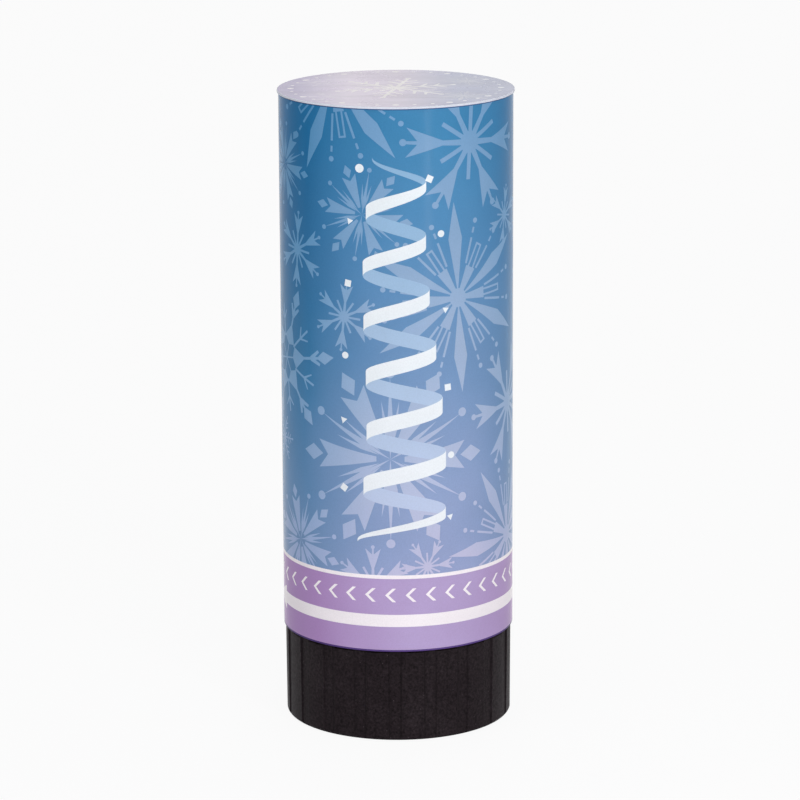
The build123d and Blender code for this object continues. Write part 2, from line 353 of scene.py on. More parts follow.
def piece(name, points, faces, finishes, face_finishes=None):
    """New smooth mesh object from points in millimetres."""
    mesh = bpy.data.meshes.new(name)
    mesh.from_pydata([Vector(p) * MM for p in points], [], faces)
    for finish in finishes:
        mesh.materials.append(finish)
    if face_finishes is not None:
        mesh.polygons.foreach_set("material_index", face_finishes)
    smooth(mesh)
    made = bpy.data.objects.new(name, mesh)
    bpy.context.scene.collection.objects.link(made)
    return made


def smooth(mesh):
    mesh.polygons.foreach_set("use_smooth", [True] * len(mesh.polygons))
    mesh.update()


def corner_normals(made, normal_of):
    """Sets each corner's normal from normal_of(face, point in millimetres)."""
    mesh = made.data
    normals = [None] * len(mesh.loops)
    for face in mesh.polygons:
        for loop in face.loop_indices:
            point = mesh.vertices[mesh.loops[loop].vertex_index].co / MM
            normals[loop] = normal_of(face, point)
    mesh.normals_split_custom_set(normals)


def outwards(point):
    """Direction from the popper's axis to a point."""
    return Vector((point.x, point.y, 0)).normalized()


def spun(x, y, angle):
    """Point turned about the origin."""
    c, s = math.cos(angle), math.sin(angle)
    return c * x - s * y, s * x + c * y


def round_row(radius, count):
    """Points evenly round a circle, from +X."""
    turn = FULL_TURN / count
    return [(radius * math.cos(turn * k), radius * math.sin(turn * k)) for k in range(count)]


# Print: convex outlines in flat millimetres, each with an ink, cut into one triangulated sheet

# Points of the print closer than this are one point
WELD = 0.001
LEAST_AREA = 1e-4
INSIDE_SLACK = 1e-7


def clipped(outline, low, high):
    """Convex outline cut to the box from low to high."""
    for axis in (0, 1):
        for limit, sign in ((low[axis], 1), (high[axis], -1)):
            kept = []
            for a, b in zip(outline, outline[1:] + outline[:1]):
                inside_a = sign * (a[axis] - limit) >= 0
                inside_b = sign * (b[axis] - limit) >= 0
                if inside_a:
                    kept.append(a)
                if inside_a != inside_b:
                    t = (limit - a[axis]) / (b[axis] - a[axis])
                    kept.append((a[0] + t * (b[0] - a[0]), a[1] + t * (b[1] - a[1])))
            outline = kept
            if not outline:
                return []
    return outline


def area(outline):
    """Area of an outline, negative where it runs clockwise."""
    return sum(a[0] * b[1] - b[0] * a[1] for a, b in zip(outline, outline[1:] + outline[:1])) / 2


class Print:
    """Sheet of convex outlines; later ones print over earlier ones."""

    def __init__(self, frame_outline):
        self.points = []
        self.edges = []
        self.shapes = []
        self.low = [min(p[axis] for p in frame_outline) for axis in (0, 1)]
        self.high = [max(p[axis] for p in frame_outline) for axis in (0, 1)]
        self.add_edges(frame_outline)

    def add_edges(self, outline, closed=True):
        first = len(self.points)
        count = len(outline)
        self.points += [Vector(p) for p in outline]
        self.edges += [(first + k, first + (k + 1) % count) for k in range(count if closed else count - 1)]

    def draw(self, ink, outlines, low=None, high=None):
        """Prints outlines, cut to the sheet's box or to the box given."""
        for outline in outlines:
            outline = clipped(list(outline), low or self.low, high or self.high)
            if len(outline) < 3 or abs(area(outline)) < LEAST_AREA:
                continue
            if area(outline) < 0:
                outline.reverse()
            self.add_edges(outline)
            self.shapes.append((ink, outline))

    def cut(self, ground):
        """Triangles of the sheet with an ink each; ground gives the ink of bare paper at a height."""
        points, _, faces, *_ = delaunay_2d_cdt(self.points, self.edges, [], 0, WELD, False)
        flat = np.array([(p[0], p[1]) for p in points])
        middles = np.array([flat[list(face)].mean(axis=0) for face in faces])
        inks = np.array([ground(v) for v in middles[:, 1]])
        for ink, outline in self.shapes:
            corners = np.array(outline)
            near = np.all((middles > corners.min(axis=0)) & (middles < corners.max(axis=0)), axis=1)
            index = np.nonzero(near)[0]
            inside = np.ones(len(index), bool)
            for a, b in zip(corners, np.roll(corners, -1, axis=0)):
                offset = middles[index] - a
                side = (b[0] - a[0]) * offset[:, 1] - (b[1] - a[1]) * offset[:, 0]
                inside &= side >= -INSIDE_SLACK
            inks[index[inside]] = ink
        return flat, [tuple(face) for face in faces], list(inks)


# Snowflake strokes, drawn along +X in shares of the flake's radius

ROUND_SIDES = 14
BRANCH_TIP_SHARE = 0.6


def diamond(start, end, width, waist=0.5):
    middle = start + (end - start) * waist
    return [[(start, 0), (middle, -width / 2), (end, 0), (middle, width / 2)]]


def bar(start, end, width, end_width=None):
    tip = (width if end_width is None else end_width) / 2
    return [[(start, -width / 2), (end, -tip), (end, tip), (start, width / 2)]]


def dot(middle, radius, sides=ROUND_SIDES):
    return [[(middle + x, y) for x, y in round_row(radius, sides)]]


def fishtail(start, end, width, tail, notch):
    half = [(start, 0), (end - notch, 0), (end, tail / 2), (start, width / 2)]
    return [half, [(x, -y) for x, y in half]]


def turned(outlines, angle, scale=1.0, place=(0, 0)):
    c, s = math.cos(angle) * scale, math.sin(angle) * scale
    u, v = place
    return [[(u + c * x - s * y, v + s * x + c * y) for x, y in outline] for outline in outlines]


def branches(place, length, width, angle):
    """Pair of side strokes that leave the arm at a place."""
    stroke = bar(0, length, width, width * BRANCH_TIP_SHARE)
    return turned(stroke, angle, 1.0, (place, 0)) + turned(stroke, -angle, 1.0, (place, 0))


def window(start, end, width, stroke):
    """Open rectangle: two rails and its far end."""
    rail = [(start, width / 2 - stroke), (end, width / 2 - stroke), (end, width / 2), (start, width / 2)]
    return [rail, [(x, -y) for x, y in rail]] + bar(end - stroke, end, width)


def dashes(angle):
    """Thin line, dash and dot, at an angle from the arm."""
    return turned(bar(0.36, 0.63, 0.024) + bar(0.68, 0.74, 0.024) + dot(0.81, 0.028), angle)


def star(count, arm, between=()):
    """Flake whose arms take turns with the strokes between them."""
    step = FULL_TURN / count
    outlines = []
    for k in range(count):
        outlines += turned(arm, k * step) + turned(between, (k + 0.5) * step)
    return outlines


FLAKES = {
    "burst": star(
        6,
        diamond(0.05, 1.0, 0.16, 0.6),
        bar(0.04, 0.34, 0.04, 0.12) + window(0.34, 0.6, 0.08, 0.02) + dashes(0.2) + dashes(-0.2),
    )
    + dot(0, 0.1),
    "forked": star(
        6,
        bar(0.05, 0.93, 0.085, 0.04) + fishtail(0.42, 0.92, 0.07, 0.4, 0.17) + dot(0.96, 0.048),
        bar(0.05, 0.5, 0.06),
    )
    + dot(0, 0.15),
    "plate": star(
        6,
        fishtail(0.14, 0.78, 0.05, 0.29, 0.11) + diamond(0.73, 0.99, 0.17),
        diamond(0, 0.85, 0.06, 0.4)
        + dot(0.87, 0.046)
        + turned(diamond(0.12, 0.6, 0.045, 0.4), 0.15)
        + turned(diamond(0.12, 0.6, 0.045, 0.4), -0.15),
    ),
    "gem": star(
        6,
        bar(0, 0.22, 0.02)
        + diamond(0.2, 0.5, 0.28, 0.22)
        + bar(0.46, 0.74, 0.035)
        + branches(0.62, 0.17, 0.06, 0.55)
        + diamond(0.72, 1.0, 0.17, 0.45),
        bar(0.28, 0.7, 0.03) + branches(0.5, 0.16, 0.03, 0.75),
    ),
    "fern": star(
        6,
        bar(0, 0.98, 0.075, 0.05)
        + branches(0.42, 0.32, 0.07, 0.9)
        + branches(0.66, 0.24, 0.06, 0.9)
        + dot(0.98, 0.05),
        bar(0, 0.3, 0.06) + dot(0.32, 0.05),
    ),
    "frost": star(
        8,
        bar(0.05, 0.86, 0.06, 0.04) + branches(0.52, 0.26, 0.055, 0.75) + dot(0.9, 0.055),
        diamond(0.08, 0.5, 0.1),
    ),
}


def flake(kind, x, y, radius, turn):
    """Outlines of one flake at a place, turned by degrees."""
    return turned(FLAKES[kind], math.radians(turn), radius, (x, y))


# Wrapped label: flat, u runs round the barrel from the front and v is the height

LABEL_THICKNESS = 0.2
LABEL_COLUMNS = 144
LAP_LENGTH, LAP_RAMP, LAP_BOW = 6.0, 2.0, 0.8
LAP_END = math.pi + LAP_LENGTH / 2 / LABEL_RADIUS
LAP_FOOT = LAP_END - (LAP_LENGTH + LAP_RAMP) / LABEL_RADIUS
SHEET_WIDTH = FULL_TURN * LABEL_RADIUS
SHEET_RIGHT = LAP_END * LABEL_RADIUS
SHEET_LEFT = SHEET_RIGHT - SHEET_WIDTH

# Painted shadow lines at the wrap's two ends, where the grip and the lid meet it, and the purple band under a
# thin white line
FOOT_SHADOW_HEIGHT, HEAD_SHADOW_HEIGHT = 0.3, 0.22
BAND_TOP, LINE_TOP = 28.98, 29.63
STRIPE_LOW, STRIPE_HIGH, STRIPE_TAIL = 20.5, 22.65, 58.0
ARROW_BASE, ARROW_HEIGHT, ARROW_LENGTH = -26.4, 4.3, 5.0
CHEVRON_LOW, CHEVRON_HIGH = 24.9, 27.3
CHEVRON_PITCH, CHEVRON_STROKE, CHEVRON_REACH = 3.4, 0.62, 1.25

# Curled paper streamer up the front; it narrows towards its top and tapers at both ends
STREAMER_LOW, STREAMER_HIGH, STREAMER_MIDDLE = 35.6, 101.4, 0.6
STREAMER_TURNS, STREAMER_STEPS = 7, 30
SWING_LOW, SWING_HIGH, SWAY = 7.6, 4.6, 0.9
STRIP_WIDTH, STRIP_TIP_SHARE, STRIP_TAPER, STRIP_THINNING = 2.9, 0.15, 7, 0.25

GROUND, FLAKE, RIBBON, WHITE, PURPLE, FOOT_SHADOW, HEAD_SHADOW, EDGE, INSIDE = range(9)

# Flakes on the front: kind, place round and up the barrel, radius and turn in degrees
FRONT_FLAKES = [
    ("burst", -10.8, 114.6, 17.0, 9),
    ("forked", 13.2, 103.4, 12.6, 57),
    ("plate", -5.8, 91.8, 8.8, 50),
    ("forked", -19.8, 84.4, 6.6, 26),
    ("burst", 10.8, 77.2, 16.4, 33),
    ("forked", -9.2, 74.2, 6.0, 24),
    ("gem", -24.4, 64.8, 13.3, 9),
    ("plate", -1.2, 50.0, 17.0, 0),
    ("forked", 24.6, 56.8, 11.0, 4),
    ("burst", 24.3, 33.4, 15.4, 4),
    ("plate", -19.7, 33.7, 9.7, 43),
    ("forked", 5.1, 31.0, 4.9, 3),
    ("forked", -4.3, 28.0, 6.8, 30),
    ("plate", -24.4, 98.4, 8.0, 52),
    ("fern", -26.4, 50.4, 4.2, 5),
    ("forked", 22.9, 89.6, 5.2, 20),
]
# Flakes on the back start this far from the front, and keep this share of their radii apart
BACK_EDGE, BACK_SPACING_SHARE = 31.0, 0.86
BACK_SEED, BACK_TRIES, BACK_TURN = 11, 1500, 60
BACK_SIZES = (13.0, 10.5, 8.5, 6.5, 5.0, 3.8)

# Confetti bits round the streamer: place, size, turn in degrees and number of sides
BITS = [
    (-6.2, 99.6, 0.75, 0, ROUND_SIDES),
    (5.6, 97.8, 0.8, 20, 4),
    (-8.0, 90.6, 0.65, 10, 3),
    (7.6, 88.4, 0.6, 0, ROUND_SIDES),
    (-8.4, 80.0, 0.8, 35, 4),
    (8.4, 75.4, 0.65, 25, 3),
    (-9.0, 67.6, 0.6, 0, ROUND_SIDES),
    (8.8, 62.0, 0.8, 50, 4),
    (-9.4, 56.4, 0.7, 15, 3),
    (9.4, 50.2, 0.6, 0, ROUND_SIDES),
    (-9.4, 44.6, 0.8, 12, 4),
    (9.2, 39.4, 0.65, 40, 3),
]


def back_flakes():
    """Flakes for the sides and back, from a seeded draw and kept apart, big ones first."""
    draw = random.Random(BACK_SEED)
    kinds = sorted(FLAKES)
    kept = [(u, v, radius) for _, u, v, radius, _ in FRONT_FLAKES]
    flakes = []
    for attempt in range(BACK_TRIES):
        radius = BACK_SIZES[attempt * len(BACK_SIZES) // BACK_TRIES]
        u = draw.uniform(SHEET_LEFT, SHEET_RIGHT)
        v = draw.uniform(LINE_TOP, LABEL_TOP)
        kind = draw.choice(kinds)
        turn = draw.uniform(0, BACK_TURN)
        if abs(u) < BACK_EDGE:
            continue
        if all(math.hypot(u - a, v - b) > BACK_SPACING_SHARE * (radius + r) for a, b, r in kept):
            kept.append((u, v, radius))
            flakes.append((kind, u, v, radius, turn))
    return flakes


def streamer(side):
    """Half of a curled paper streamer, seen from the side: its near strips (side 1) or its far ones (-1)."""
    count = STREAMER_TURNS * STREAMER_STEPS
    edges = []
    for k in range(count + 1):
        t = k / count
        angle = FULL_TURN * k / STREAMER_STEPS - RIGHT_ANGLE
        swing = SWING_LOW + (SWING_HIGH - SWING_LOW) * t
        x = STREAMER_MIDDLE + swing * math.sin(angle) + SWAY * math.sin(FULL_TURN * t)
        z = STREAMER_LOW + (STREAMER_HIGH - STREAMER_LOW) * t
        taper = min(1, STRIP_TIP_SHARE + STRIP_TAPER * min(t, 1 - t))
        half = STRIP_WIDTH / 2 * taper * (1 - STRIP_THINNING * t)
        edges.append((math.cos(angle), (x, z - half), (x, z + half)))
    strips = []
    for (near, a, b), (after, c, d) in zip(edges, edges[1:]):
        if side * (near + after) >= 0:
            strips.append([a, c, d, b])
    return strips


def rectangle(left, right, low, high):
    return [(left, low), (right, low), (right, high), (left, high)]


def band_marks():
    """Direction stripe with its arrowhead, and a row of chevrons that point the same way."""
    middle, half = (STRIPE_LOW + STRIPE_HIGH) / 2, ARROW_HEIGHT / 2
    marks = [
        rectangle(ARROW_BASE, STRIPE_TAIL, STRIPE_LOW, STRIPE_HIGH),
        [(ARROW_BASE - ARROW_LENGTH, middle), (ARROW_BASE, middle - half), (ARROW_BASE, middle + half)],
    ]
    count = int(SHEET_WIDTH / CHEVRON_PITCH)
    tip = (CHEVRON_LOW + CHEVRON_HIGH) / 2
    for k in range(count):
        u = SHEET_LEFT + (k + 0.5) * SHEET_WIDTH / count
        far = u + CHEVRON_REACH
        for end in (CHEVRON_LOW, CHEVRON_HIGH):
            marks.append([(u, tip), (u + CHEVRON_STROKE, tip), (far + CHEVRON_STROKE, end), (far, end)])
    return marks


def label_print():
    """The flat wrap's points, triangles and inks."""
    art = Print(rectangle(SHEET_LEFT, SHEET_RIGHT, LABEL_FOOT, LABEL_TOP))
    # The lowest and highest levels are painted shadow, where the grip and the lid shade the wrap's ends
    levels = (
        (LABEL_FOOT + FOOT_SHADOW_HEIGHT, FOOT_SHADOW),
        (BAND_TOP, PURPLE),
        (LINE_TOP, WHITE),
        (LABEL_TOP - HEAD_SHADOW_HEIGHT, GROUND),
        (LABEL_TOP, HEAD_SHADOW),
    )
    for k in range(1, LABEL_COLUMNS):
        u = SHEET_LEFT + SHEET_WIDTH * k / LABEL_COLUMNS
        art.add_edges([(u, LABEL_FOOT), (u, LABEL_TOP)], closed=False)
    for height, _ in levels[:-1]:
        art.add_edges([(SHEET_LEFT, height), (SHEET_RIGHT, height)], closed=False)
    low, high = (SHEET_LEFT, LINE_TOP), (SHEET_RIGHT, LABEL_TOP - HEAD_SHADOW_HEIGHT)
    for row in FRONT_FLAKES + back_flakes():
        art.draw(FLAKE, flake(*row), low, high)
    art.draw(RIBBON, streamer(-1))
    art.draw(WHITE, streamer(1))
    for u, v, size, turn, sides in BITS:
        art.draw(WHITE, turned(dot(0, size, sides), math.radians(turn), 1.0, (u, v)))
    art.draw(WHITE, band_marks())
    return art.cut(lambda v: next(ink for top, ink in levels if v < top))


def lap_rise(angle):
    """Height of the lapped end over the barrel's round, at an angle from the front."""
    s = max(0.0, (angle - LAP_FOOT) / (LAP_END - LAP_FOOT))
    return LABEL_THICKNESS * ((1 + LAP_BOW) * s - LAP_BOW * s * s)


def on_barrel(u, v):
    """Place of a flat point on the barrel."""
    angle = u / LABEL_RADIUS
    radius = LABEL_RADIUS + lap_rise(angle)
    return (radius * math.sin(angle), -radius * math.cos(angle), v)


def on_line(flat, axis, place):
    """Flat points that lie on a line across an axis, in their order along the line."""
    found = [i for i in range(len(flat)) if abs(flat[i][axis] - place) < 2 * WELD]
    return sorted(found, key=lambda i: flat[i][1 - axis])


# Ramp shares from the wrap's foot to its top; the white ink is warm in the band and cool above it
INK_AT = (0.14, 0.285, 0.5, 0.76, 0.95)
WHITE_AT = (0.15, 0.19, 1.0)
PLAIN = (0.0,)


def label_finishes():
    """The wrap's inks and papers, in the order of their numbers."""
    ground = stops(INK_AT, (156, 167, 207), (148, 165, 204), (124, 154, 195), (87, 141, 187), (71, 136, 181))
    # Deep stops of the ground: partly a deeper print, partly painted shade away from the lit side
    deep_and_shaded = stops(INK_AT, (124, 153, 194), (101, 144, 188), (64, 128, 175), (46, 114, 164), (28, 110, 162))
    pale = stops(INK_AT, (200, 196, 224), (187, 194, 222), (168, 185, 214), (140, 170, 204), (126, 164, 202))
    dim = stops(INK_AT, (166, 184, 222), (150, 178, 216), (126, 170, 210), (100, 156, 200), (88, 148, 194))
    far = stops(INK_AT, (198, 206, 234), (190, 203, 231), (176, 198, 226), (152, 186, 218), (140, 180, 214))
    white = stops(WHITE_AT, (250, 243, 248), (239, 243, 248), (234, 241, 246))
    span = (LABEL_FOOT, LABEL_TOP)
    return [
        laminated("label_ground_print", *span, ground, deep_and_shaded),
        laminated("label_flake_print", *span, pale, dim),
        laminated("label_ribbon_print", *span, far),
        laminated("label_white_print", *span, white),
        laminated("label_band_print", *span, stops(PLAIN, (184, 164, 208)), stops(PLAIN, (176, 141, 195))),
        # Painted shadow lines at the wrap's foot and head
        laminated("label_foot_painted_shadow", *span, stops(PLAIN, (92, 70, 132)), stops(PLAIN, (78, 58, 114))),
        laminated("label_head_painted_shadow", *span, stops(PLAIN, (66, 100, 148)), stops(PLAIN, (30, 74, 122))),
        cut_paper("label_cut_edge", srgb(236, 234, 236)),
        cut_paper("label_inside_paper", srgb(228, 226, 224)),
    ]


def make_label():
    """Printed sheet rolled on the barrel, with its cut edges, lapped end and plain inside."""
    flat, faces, inks = label_print()
    points = [on_barrel(u, v) for u, v in flat]
    step = SHEET_WIDTH / LABEL_COLUMNS
    inner = LABEL_RADIUS - LABEL_THICKNESS
    rims = {}
    for height in (LABEL_FOOT, LABEL_TOP):
        rims[height] = len(points)
        for k in range(LABEL_COLUMNS):
            angle = (SHEET_LEFT + k * step) / LABEL_RADIUS
            points.append((inner * math.sin(angle), -inner * math.cos(angle), height))
    for height, first in rims.items():
        row = on_line(flat, 1, height)
        for k in range(LABEL_COLUMNS):
            start, end = SHEET_LEFT + k * step - 2 * WELD, SHEET_LEFT + (k + 1) * step + 2 * WELD
            outer = [i for i in row if start <= flat[i][0] <= end]
            if k == LABEL_COLUMNS - 1:
                outer.append(row[0])
            face = outer + [first + (k + 1) % LABEL_COLUMNS, first + k]
            faces.append(tuple(face if height == LABEL_TOP else face[::-1]))
            inks.append(EDGE)
    faces.append(tuple(on_line(flat, 0, SHEET_LEFT) + on_line(flat, 0, SHEET_RIGHT)[::-1]))
    inks.append(EDGE)
    low, high = rims[LABEL_FOOT], rims[LABEL_TOP]
    for k in range(LABEL_COLUMNS):
        after = (k + 1) % LABEL_COLUMNS
        faces.append((low + after, low + k, high + k, high + after))
        inks.append(INSIDE)
    made = piece("printed_wrap", points, faces, label_finishes(), inks)

    def normal_of(face, point):
        return face.normal if face.material_index in (EDGE, INSIDE) else outwards(point)

    corner_normals(made, normal_of)
    return made


# Lid disc: paper with a soft upper edge

lid_low, lid_high = node_box("lid_label")
LID_RADIUS, LID_FOOT, LID_TOP = lid_high.x, lid_low.z, lid_high.z
LID_EDGE, LID_SIDES = 0.117, 144
LID_EDGE_ANGLES = (0.5, 1.05, RIGHT_ANGLE)
LID_FLAT_RADIUS = LID_RADIUS - LID_EDGE
LID_GROUND, LID_PALE, LID_WHITE, LID_CUT, LID_UNDER = range(5)

# Pale flakes on the lid: kind, place, radius and turn in degrees
LID_FLAKES = [
    ("gem", -12.6, 6.4, 4.6, 10),
    ("frost", 12.4, 7.0, 4.2, 4),
    ("burst", 11.4, -8.6, 5.2, 20),
    ("forked", -11.0, -9.0, 4.4, 0),
]
LID_WHITE_FLAKE = ("fern", 0, 0, 10.5, 18)
DOT_COUNT, DOT_RING_RADIUS, DOT_SIDES = 36, 17.9, 10
DOT_SIZES = (0.6, 0.34, 0.34)

# Ramp shares from the lid's left to its right; the lighter stops left of the middle are partly the print's
# gradient and partly a painted reflection
LID_AT = (0.08, 0.3, 0.52, 0.74, 0.92)


def lid_print():
    """The flat lid's points, triangles and inks: pale flakes, one plain snowflake and a ring of dots."""
    art = Print(round_row(LID_FLAT_RADIUS, LID_SIDES))
    for row in LID_FLAKES:
        art.draw(LID_PALE, flake(*row))
    art.draw(LID_WHITE, flake(*LID_WHITE_FLAKE))
    for k, place in enumerate(round_row(DOT_RING_RADIUS, DOT_COUNT)):
        size = DOT_SIZES[k % len(DOT_SIZES)]
        art.draw(LID_WHITE, turned(dot(0, size, DOT_SIDES), 0, 1.0, place))
    return art.cut(lambda v: LID_GROUND)


def lid_finishes():
    """The lid's inks and papers, in the order of their numbers; the inks' ramps carry a painted reflection
    left of the middle.
    """
    # Painted reflection: the light stops at 0.3 and 0.52 stand in for a broad gloss on the disc
    lilac = stops(LID_AT, (150, 137, 180), (209, 195, 217), (197, 184, 207), (157, 162, 194), (153, 158, 188))
    pale = stops(LID_AT, (188, 178, 204), (200, 190, 208), (197, 189, 205), (182, 184, 204), (176, 181, 202))
    white = stops(LID_AT, (226, 219, 226), (230, 224, 226), (230, 225, 225), (224, 225, 231), (220, 224, 232))
    span = (-LID_RADIUS, LID_RADIUS)
    pearly = {"axis": 0, "gloss": 0.5, "roughness": (0.2, 0.3)}
    return [
        laminated("lid_ground_print_and_reflection", *span, lilac, smears=0.13, **pearly),
        laminated("lid_flake_print", *span, pale, smears=0.09, **pearly),
        laminated("lid_white_print", *span, white, smears=0.03, **pearly),
        cut_paper("lid_cut_edge", srgb(226, 228, 240)),
        cut_paper("lid_under_paper", srgb(228, 226, 224)),
    ]


def make_lid():
    """Printed disc with its rounded edge, cut side and plain underside."""
    flat, faces, inks = lid_print()
    points = [(x, y, LID_TOP) for x, y in flat]
    rim = sorted(
        (i for i in range(len(flat)) if math.hypot(*flat[i]) > LID_FLAT_RADIUS - WELD),
        key=lambda i: math.atan2(flat[i][1], flat[i][0]) % FULL_TURN,
    )
    profile = []
    for angle in LID_EDGE_ANGLES:
        drop = LID_EDGE * (1 - math.cos(angle))
        profile.append((LID_FLAT_RADIUS + LID_EDGE * math.sin(angle), LID_TOP - drop))
    profile.append((LID_RADIUS, LID_FOOT))
    rows = [rim]
    for radius, height in profile:
        first = len(points)
        for i in rim:
            x, y = flat[i]
            scale = radius / math.hypot(x, y)
            points.append((x * scale, y * scale, height))
        rows.append(list(range(first, len(points))))
    for upper, lower in zip(rows, rows[1:]):
        for k in range(len(rim)):
            after = (k + 1) % len(rim)
            faces.append((upper[k], lower[k], lower[after], upper[after]))
            inks.append(LID_CUT)
    faces.append(tuple(reversed(rows[-1])))
    inks.append(LID_UNDER)
    made = piece("lid_disc", points, faces, lid_finishes(), inks)

    def normal_of(face, point):
        if face.material_index != LID_CUT:
            return Vector((0, 0, -1.0 if face.material_index == LID_UNDER else 1.0))
        if point.z < LID_TOP - LID_EDGE - WELD:
            return outwards(point)
        share = min(1, max(0, (math.hypot(point.x, point.y) - LID_FLAT_RADIUS) / LID_EDGE))
        return outwards(point) * share + Vector((0, 0, math.sqrt(1 - share * share)))

    corner_normals(made, normal_of)
    return made


# Tissue slips, two crinkled sheets for each solid slip

CONFETTI_LIFT = 0.05
CONFETTI_FOOT = node_box("card_wad")[1].z + CONFETTI_LIFT
CONFETTI_SEED = 5
SLIP_WIDTH, SLIP_SPACING = 11.996, 0.8
SLIP_LENGTH = 2 * SLIP_WIDTH
LAYER_PITCH, LAYER_COUNT, LAYER_TURN = 0.9, 60, 137.5
SLIPS_PER_LAYER, SHEETS_PER_SLIP = 2, 2
SHEET_THICKNESS, SHEET_LIFT, SHEET_PITCH = 0.07, 0.19, 0.42
# How far a sheet may shift sideways and twist in degrees
SHEET_SHIFT, SHEET_TWIST = 0.14, 0.7
# Crinkles: height, and the rates in radians a millimetre of the waves along, across and aslant
CRINKLE_HEIGHT = 0.045
CRINKLE_RATES = ((0.35, 0.77), (0.35, 0.8), (0.2, 0.5))
STEPS_ALONG, STEPS_ACROSS = 10, 5
TISSUE = {
    "white": srgb(242, 242, 245),
    "sky": srgb(168, 208, 236),
    "blue": srgb(72, 126, 190),
    "lilac": srgb(200, 182, 226),
    "purple": srgb(138, 104, 178),
}


def sheet_faces(first):
    """Faces of a closed sheet: two grids of points, the lower one first, and the edge between them."""
    row = STEPS_ACROSS + 1
    size = row * (STEPS_ALONG + 1)
    faces = []
    for i in range(STEPS_ALONG):
        for j in range(STEPS_ACROSS):
            a = first + i * row + j
            faces.append((a, a + 1, a + row + 1, a + row))
            faces.append((a + size, a + size + row, a + size + row + 1, a + size + 1))
    ring = [i * row for i in range(STEPS_ALONG + 1)]
    ring += [STEPS_ALONG * row + j for j in range(1, row)]
    ring += [i * row + STEPS_ACROSS for i in range(STEPS_ALONG - 1, -1, -1)]
    ring += list(range(STEPS_ACROSS - 1, 0, -1))
    for a, b in zip(ring, ring[1:] + ring[:1]):
        faces.append((first + a, first + b, first + b + size, first + a + size))
    return faces


def sheet_points(draw, layer, side, sheet):
    """Points of one crinkled sheet, a little out of place."""
    offset = (side - 0.5) * (SLIP_WIDTH + SLIP_SPACING) + draw.uniform(-SHEET_SHIFT, SHEET_SHIFT)
    twist = math.radians(draw.uniform(-SHEET_TWIST, SHEET_TWIST))
    phases = [draw.uniform(0, FULL_TURN) for _ in CRINKLE_RATES]
    rates = [draw.uniform(*limits) for limits in CRINKLE_RATES]
    turn = math.radians(layer * LAYER_TURN)
    height = CONFETTI_FOOT + layer * LAYER_PITCH + SHEET_LIFT + sheet * SHEET_PITCH
    points = []
    for face in (-0.5, 0.5):
        for i in range(STEPS_ALONG + 1):
            for j in range(STEPS_ACROSS + 1):
                x = (i / STEPS_ALONG - 0.5) * SLIP_LENGTH
                y = (j / STEPS_ACROSS - 0.5) * SLIP_WIDTH
                waves = zip(rates, (x, y, x + y), phases)
                crinkle = CRINKLE_HEIGHT * sum(math.sin(rate * run + phase) for rate, run, phase in waves)
                x, y = spun(x, y, twist)
                x, y = spun(x, y + offset, turn)
                points.append((x, y, height + crinkle + face * SHEET_THICKNESS))
    return points


def make_confetti():
    """One piece for each colour; the colours take turns up the stack."""
    draw = random.Random(CONFETTI_SEED)
    colours = list(TISSUE)
    meshes = {colour: ([], []) for colour in colours}
    for layer in range(LAYER_COUNT):
        for side in range(SLIPS_PER_LAYER):
            points, faces = meshes[colours[(layer * SLIPS_PER_LAYER + side) % len(colours)]]
            for sheet in range(SHEETS_PER_SLIP):
                faces += sheet_faces(len(points))
                points += sheet_points(draw, layer, side, sheet)
    for colour, (points, faces) in meshes.items():
        made = piece(f"tissue_slips_{colour}", points, faces, [tissue(f"tissue_{colour}", TISSUE[colour])])
        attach(made, "charge")
        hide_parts(f"confetti_{colour}")


# Spring

spring_low, spring_high = node_box("mainspring")
WIRE = 1.6
SPRING_TURNS = 7
END_PITCH_SHARE = 1.32
END_PITCH = END_PITCH_SHARE * WIRE
SPRING_STEPS, WIRE_SIDES = 40, 12


def spring_rise(turns):
    """Height of the wire's middle over the lowest one; the end turns lie closer."""
    inner = (spring_high.z - spring_low.z - WIRE - 2 * END_PITCH) / (SPRING_TURNS - 2)
    middle = min(max(turns - 1, 0), SPRING_TURNS - 2)
    return END_PITCH * min(turns, 1) + inner * middle + END_PITCH * max(turns - SPRING_TURNS + 1, 0)


def make_spring():
    """Round wire wound in one coil, with flat cut ends."""
    coil = (spring_high.x - spring_low.x) / 2 - WIRE / 2
    points, faces = [], []
    count = SPRING_TURNS * SPRING_STEPS
    for k in range(count + 1):
        turns = k / SPRING_STEPS
        angle = FULL_TURN * turns
        out = Vector((math.cos(angle), math.sin(angle), 0))
        middle = out * coil + Vector((0, 0, spring_low.z + WIRE / 2 + spring_rise(turns)))
        for x, z in round_row(WIRE / 2, WIRE_SIDES):
            points.append(middle + out * x + Vector((0, 0, z)))
    for k in range(count):
        for j in range(WIRE_SIDES):
            a, b = k * WIRE_SIDES + j, k * WIRE_SIDES + (j + 1) % WIRE_SIDES
            faces.append((a, a + WIRE_SIDES, b + WIRE_SIDES, b))
    faces.append(tuple(range(WIRE_SIDES)))
    faces.append(tuple(count * WIRE_SIDES + j for j in reversed(range(WIRE_SIDES))))
    made = piece("spring_wire", points, faces, [spring_steel()])
    for face in made.data.polygons[-2:]:
        face.use_smooth = False
    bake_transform(made)
    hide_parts("mainspring")


# Latch fork: a head that stays round and two barbed legs, both riding with the charge as rigid pieces; in the
# real popper the legs draw in when the base is turned

fork_low, fork_high = node_box("latch_fork")
HEAD_THICKNESS, HEAD_ROUND = 1.5, 0.7
HEAD_RADIUS = fork_high.y
HEAD_SIDES, CORNER_STEPS = 64, 5
HEAD_SHARP = math.radians(35)
LEG_OUTER, LEG_INNER, LEG_WIDTH = 6.0, 4.4, 5.0
BARB_REACH, BARB_TOP, BARB_FACE, TIP_SHARE = 2.8, 15.9, 1.0, 0.45
LEG_BEVEL, BEVEL_STEPS = 0.22, 2
LEG_SHARP = math.radians(50)


